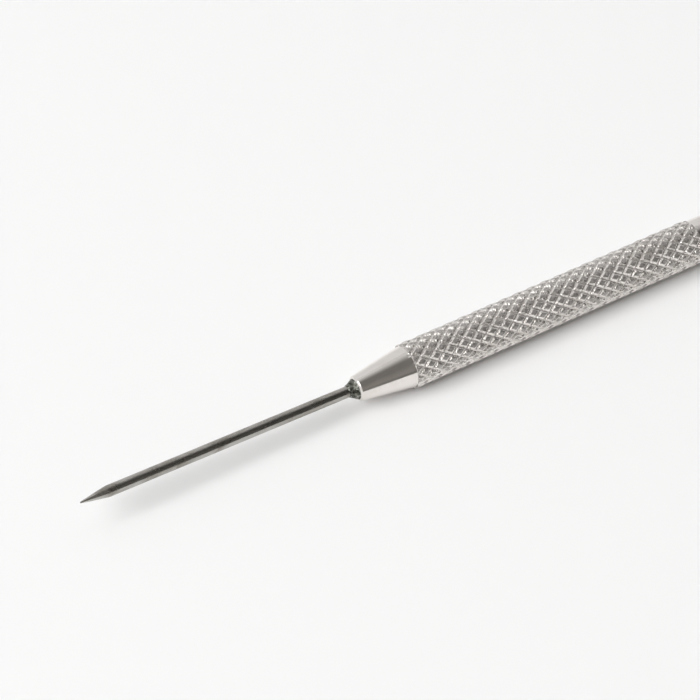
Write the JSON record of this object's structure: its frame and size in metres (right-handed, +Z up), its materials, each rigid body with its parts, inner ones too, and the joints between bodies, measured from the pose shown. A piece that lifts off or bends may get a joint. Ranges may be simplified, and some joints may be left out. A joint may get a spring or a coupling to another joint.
{
  "type": "pottery needle tool",
  "caption": "Slim pottery needle tool: a pointed steel needle soldered into the coned nose of a knurled metal handle with a smooth rear shank.",
  "frame": {"origin": "on the surface that the tool lies on, under the middle of its box", "axes": "+X along the handle from the needle's point to the handle's rear end, +Z up; the handle lies on its knurl"},
  "size_m": [0.1194, 0.0066, 0.0065],
  "materials": {
    "nickel_plate": "polished",
    "needle_steel": "satin",
    "solder": "satin"
  },
  "bodies": {
    "root": {"handle": "nickel_plate", "needle": "needle_steel", "solder_joint": "solder"}
  },
  "joints": []
}
